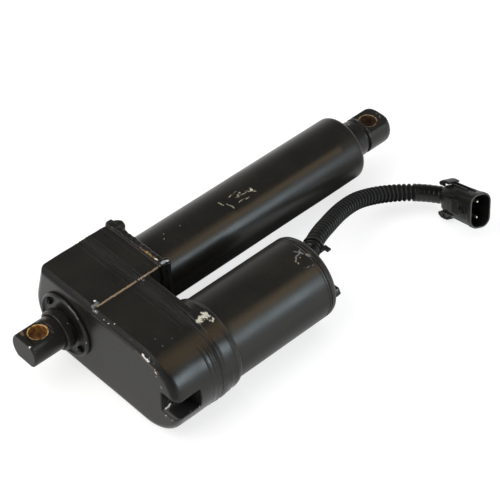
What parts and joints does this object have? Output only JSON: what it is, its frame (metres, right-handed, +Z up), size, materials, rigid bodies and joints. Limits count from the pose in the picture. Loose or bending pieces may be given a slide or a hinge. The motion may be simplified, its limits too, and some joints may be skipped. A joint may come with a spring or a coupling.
{
  "type": "linear actuator",
  "caption": "Electric linear actuator: parallel motor and gear case beside a tube with a sliding rod, an eye at each end, and a lead in ribbed conduit to a sealed plug.",
  "frame": {"origin": "on the surface that the actuator lies on, under the middle of its box without the lead", "axes": "+X along the screw from the rear eye to the rod eye, the way the rod extends; the motor is at -Y; +Z up"},
  "size_m": [0.3459, 0.1559, 0.0719],
  "materials": {
    "black_paint": "semi-gloss black paint over a die casting",
    "painted_steel": "semi-gloss black paint over steel",
    "gasket": "black gasket sheet",
    "steel": "machined steel",
    "bronze": "machined bronze",
    "brass": "pressed brass",
    "tinned_brass": "tin plated brass",
    "copper": "enamelled copper",
    "nylon": "natural nylon",
    "rubber": "black rubber",
    "ferrite": "dark ferrite",
    "fibre_board": "brown fibre board",
    "carbon": "carbon brush",
    "black_plastic": "black moulded plastic"
  },
  "bodies": {
    "housing": {"gear_housing": "black_paint", "front_cover": "black_paint", "case_gasket": "gasket", "case_screw_1": "steel", "case_screw_2": "steel", "case_screw_3": "steel", "case_screw_4": "steel", "case_screw_5": "steel", "case_screw_6": "steel", "rear_adapter": "painted_steel", "adapter_ring": "painted_steel", "adapter_lock_nut": "painted_steel", "ring_screw_1": "painted_steel", "ring_screw_2": "painted_steel", "cover_tube": "painted_steel", "tube_guide": "nylon", "rod_wiper": "rubber", "thrust_bearing": "steel", "front_bearing": "steel", "idler_pin": "steel", "motor_can": "painted_steel", "motor_end_bell": "painted_steel", "motor_bolt_1": "painted_steel", "motor_bolt_2": "painted_steel", "motor_front_bearing": "steel", "motor_rear_bearing": "steel", "magnet_upper": "ferrite", "magnet_lower": "ferrite", "brush_plate": "fibre_board", "brush_holder_upper": "brass", "brush_holder_lower": "brass", "brush_upper": "carbon", "brush_lower": "carbon", "cord_grommet": "rubber", "conduit": "black_plastic", "cable_tie": "black_plastic", "connector_shell": "black_plastic", "lock_wing_upper": "black_plastic", "lock_wing_lower": "black_plastic", "terminal_pin_1": "tinned_brass", "terminal_pin_2": "tinned_brass"},
    "screw": {"lead_screw": "steel", "screw_gear": "bronze", "clutch_plate": "steel", "clutch_spring": "steel", "clutch_nut": "steel", "end_stop_washer": "steel"},
    "rod": {"ball_nut": "steel", "nut_slide_ring": "nylon", "extension_tube": "painted_steel", "rod_end_eye": "painted_steel"},
    "idler": {"idler_gear": "steel", "idler_bush": "bronze"},
    "armature": {"motor_shaft": "steel", "motor_pinion": "steel", "armature_core": "steel", "winding_front": "copper", "winding_rear": "copper", "commutator": "copper"}
  },
  "joints": [
    {"name": "screw_spin", "type": "hinge", "parent": "housing", "child": "screw", "pos_m": [0, 0.03855, 0.0352], "axis": [1, 0, 0], "range_deg": [0, 10800]},
    {"name": "rod_extend", "type": "slide", "parent": "housing", "child": "rod", "axis": [1, 0, 0], "range_m": [0, 0.1524]},
    {"name": "idler_spin", "type": "hinge", "parent": "housing", "child": "idler", "pos_m": [-0.10425, -0.0042, 0.0352], "axis": [1, 0, 0], "range_deg": [-21600, 0]},
    {"name": "armature_spin", "type": "hinge", "parent": "housing", "child": "armature", "pos_m": [-0.04925, -0.04045, 0.0352], "axis": [1, 0, 0], "range_deg": [0, 56700]}
  ],
  "couplings": [
    {"joint": "rod_extend", "follows": "screw_spin", "m_per_rad": 0.00080851},
    {"joint": "idler_spin", "follows": "screw_spin", "ratio": -2},
    {"joint": "armature_spin", "follows": "screw_spin", "ratio": 5.25}
  ]
}
